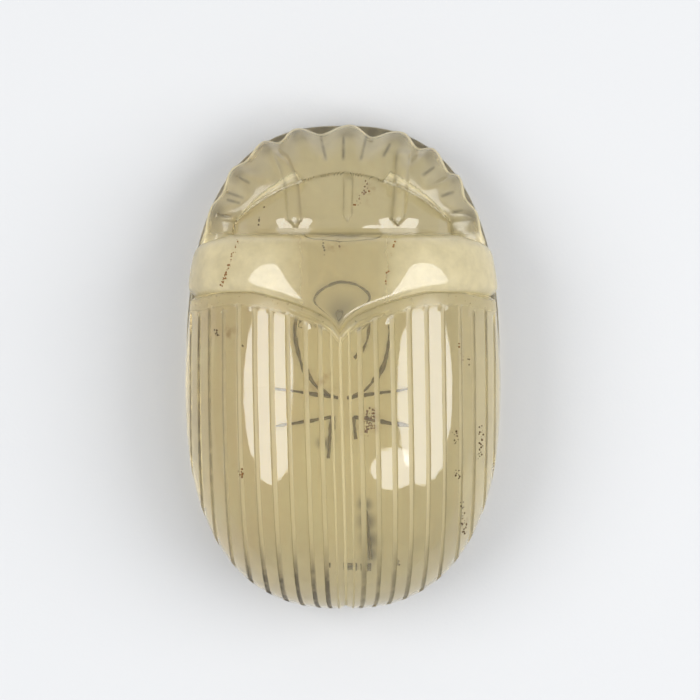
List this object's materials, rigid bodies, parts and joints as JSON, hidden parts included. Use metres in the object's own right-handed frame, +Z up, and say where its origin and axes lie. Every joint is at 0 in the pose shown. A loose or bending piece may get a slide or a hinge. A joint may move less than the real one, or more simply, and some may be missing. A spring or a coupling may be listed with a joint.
{
  "type": "scarab amulet",
  "caption": "Oval scarab amulet carved from see-through smoky yellow quartz: ribbed back, plain thorax, scalloped head, and a looped cross engraved in its flat underside.",
  "frame": {"origin": "on the flat underside, at the middle of the outline's length and width", "axes": "+Y towards the head, +Z up out of the back, +X to the right as seen from above with the head up"},
  "size_m": [0.035, 0.054, 0.019],
  "materials": {
    "stone": "polished see-through smoky yellow quartz, ground matte in its grooves"
  },
  "bodies": {
    "root": {"scarab": "stone"}
  },
  "joints": []
}
